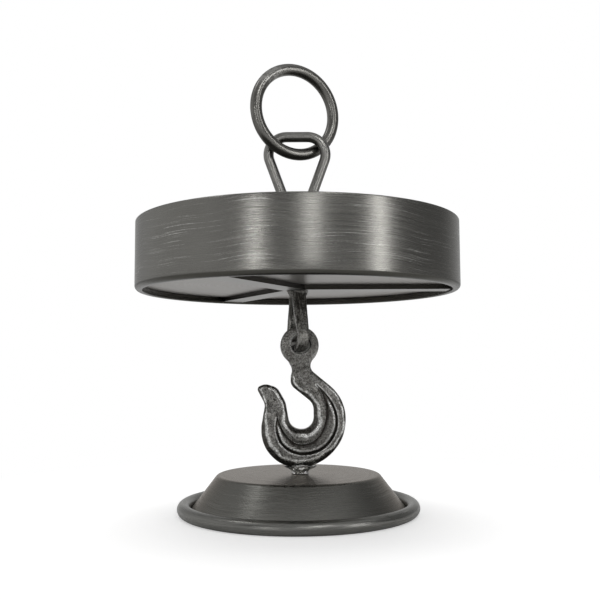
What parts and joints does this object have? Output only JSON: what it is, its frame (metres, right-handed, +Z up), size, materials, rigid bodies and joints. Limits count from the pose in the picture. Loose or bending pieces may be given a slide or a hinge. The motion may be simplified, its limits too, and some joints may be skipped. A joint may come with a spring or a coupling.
{
  "type": "decorative crane hook stand",
  "caption": "Welded steel stand with a swivelling suspension ring, a wide shallow drum, a cast eye hook and a dished base with a bar hoop.",
  "frame": {"origin": "on the floor under the middle of the stand: the centre of the bottom of the whole model's box", "axes": "+Z up, the hook and the hanger loop lie in the XZ plane, the hook's mouth towards -X, the front towards -Y"},
  "size_m": [0.2, 0.2, 0.2815],
  "materials": {
    "dark_steel": "satin, streaked",
    "drum_steel": "satin, streaked round the band",
    "spoke_steel": "satin",
    "bar_steel": "satin, worn bright in places",
    "link_steel": "satin, worn bright in places",
    "cast_hook": "rubbed bright on the edges",
    "weld": "bright, lumpy"
  },
  "bodies": {
    "stand": {"base_hoop": "dark_steel", "base_dish": "dark_steel", "hook": "cast_hook", "foot_weld": "weld", "link": "link_steel", "eye_weld": "weld", "hub_weld": "weld", "spoke_right": "spoke_steel", "spoke_rear": "spoke_steel", "spoke_front": "spoke_steel", "drum_bottom_plate": "drum_steel", "drum_band": "drum_steel", "drum_top_plate": "drum_steel", "loop_weld": "weld", "hanger_loop": "bar_steel"},
    "ring": {"suspension_ring": "bar_steel"}
  },
  "joints": [
    {"name": "ring_swivel", "type": "hinge", "parent": "stand", "child": "ring", "pos_m": [-0.00095, 0, 0.2504], "axis": [0, 0, 1], "range_deg": [0, 125.5]}
  ]
}
